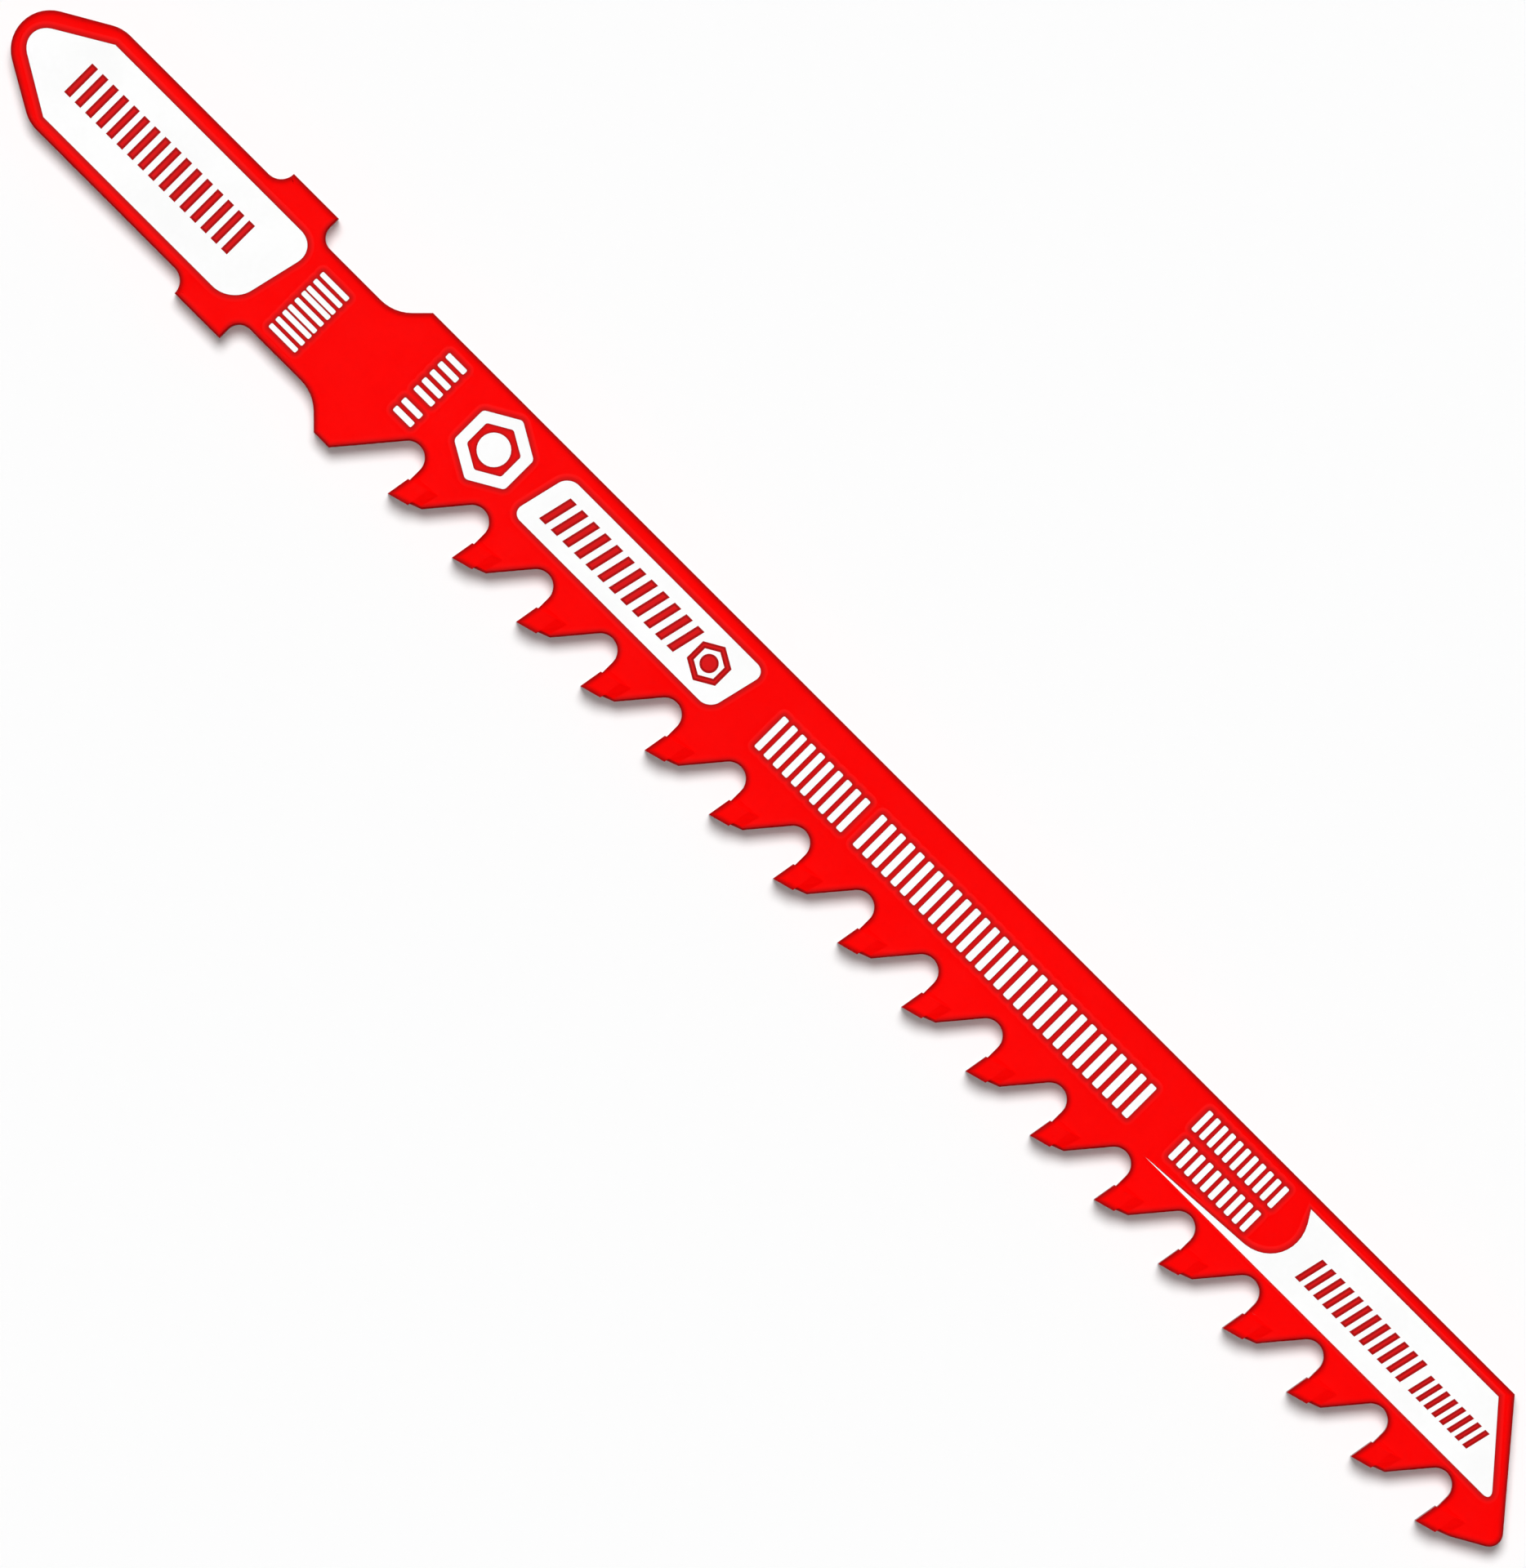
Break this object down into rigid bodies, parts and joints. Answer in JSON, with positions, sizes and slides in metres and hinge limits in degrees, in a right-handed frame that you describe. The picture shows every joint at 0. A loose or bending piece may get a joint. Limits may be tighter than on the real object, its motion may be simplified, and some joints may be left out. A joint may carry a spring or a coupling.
{
  "type": "jigsaw blade",
  "caption": "T-shank jigsaw blade in red lacquer, with a pointed tang, two lugs, large raked carbide-tipped teeth, round gullets and a slanted nose.",
  "frame": {"origin": "under the middle of the blade's length and width, level with the side of the carbide tips that it lies on", "axes": "+X along the blade from the tang to the nose, +Y from the teeth to the back edge, +Z through the thickness, away from the surface it lies on"},
  "size_m": [0.1004, 0.008, 0.0016],
  "materials": {
    "body_lacquer": "satin red lacquer on a steel blade",
    "tip_lacquer": "satin red lacquer on ground carbide",
    "white_ink": "screen-printed white ink on the lacquer",
    "red_ink": "screen-printed dark red ink"
  },
  "bodies": {
    "root": {"blade_body": "body_lacquer", "carbide_tip_01": "tip_lacquer", "carbide_tip_02": "tip_lacquer", "carbide_tip_03": "tip_lacquer", "carbide_tip_04": "tip_lacquer", "carbide_tip_05": "tip_lacquer", "carbide_tip_06": "tip_lacquer", "carbide_tip_07": "tip_lacquer", "carbide_tip_08": "tip_lacquer", "carbide_tip_09": "tip_lacquer", "carbide_tip_10": "tip_lacquer", "carbide_tip_11": "tip_lacquer", "carbide_tip_12": "tip_lacquer", "carbide_tip_13": "tip_lacquer", "carbide_tip_14": "tip_lacquer", "carbide_tip_15": "tip_lacquer", "carbide_tip_16": "tip_lacquer", "carbide_tip_17": "tip_lacquer"}
  },
  "joints": []
}
